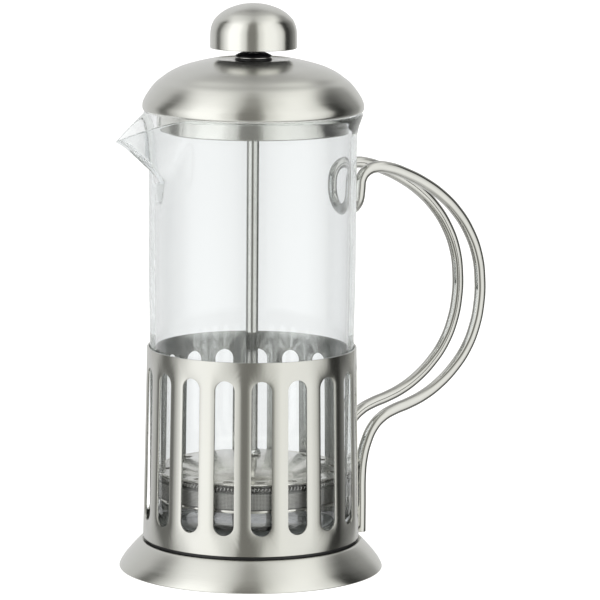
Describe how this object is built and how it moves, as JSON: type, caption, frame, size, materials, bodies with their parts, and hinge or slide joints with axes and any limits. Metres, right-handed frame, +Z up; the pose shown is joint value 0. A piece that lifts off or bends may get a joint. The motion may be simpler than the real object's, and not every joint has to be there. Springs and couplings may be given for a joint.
{
  "type": "french press",
  "caption": "French press coffee maker: glass beaker with pulled spout in a slotted steel cage on a flared foot, bent-wire handle, domed lid, round knob and plunger with mesh filter.",
  "frame": {"origin": "bottom centre of the whole object, on the table, midway between the spout tip and the handle's outer edge", "axes": "+Z up along the beaker and the plunger rod, +X towards the handle, -X towards the spout"},
  "size_m": [0.1402, 0.0896, 0.192],
  "materials": {
    "brushed_steel": "satin, circular and vertical brushing",
    "polished_steel": "polished wire and rod",
    "clear_glass": "clear heat-resistant glass",
    "black_plastic": "satin black",
    "mesh_steel": "fine woven wire mesh",
    "clear_silicone": "translucent matt"
  },
  "bodies": {
    "frame": {"base_foot": "brushed_steel", "base_floor": "brushed_steel", "beaker_pad": "clear_silicone", "cage": "brushed_steel", "handle_wire": "polished_steel"},
    "beaker": {"beaker": "clear_glass"},
    "lid": {"lid_dome": "brushed_steel", "lid_skirt": "brushed_steel", "collar_base": "black_plastic", "collar_ring": "polished_steel", "collar_cone": "black_plastic"},
    "plunger": {"plunger_rod": "polished_steel", "filter_hub": "polished_steel", "filter_plate": "brushed_steel", "filter_spring": "polished_steel", "filter_mesh": "mesh_steel"},
    "knob": {"knob_shell": "brushed_steel", "knob_core": "black_plastic"},
    "cross_plate": {"cross_plate": "brushed_steel", "cross_nut": "polished_steel"}
  },
  "joints": [
    {"name": "beaker_lift", "type": "slide", "parent": "frame", "child": "beaker", "axis": [0, 0, 1], "range_m": [0, 0.13]},
    {"name": "lid_lift", "type": "slide", "parent": "beaker", "child": "lid", "axis": [0, 0, 1], "range_m": [0, 0.145]},
    {"name": "plunger_slide", "type": "slide", "parent": "lid", "child": "plunger", "axis": [0, 0, 1], "range_m": [0, 0.112]},
    {"name": "knob_turn", "type": "hinge", "parent": "plunger", "child": "knob", "pos_m": [-0.01843, 0, 0.181], "axis": [0, 0, 1], "continuous": true},
    {"name": "cross_plate_turn", "type": "hinge", "parent": "plunger", "child": "cross_plate", "pos_m": [-0.01843, 0, 0.025], "axis": [0, 0, 1], "continuous": true}
  ]
}
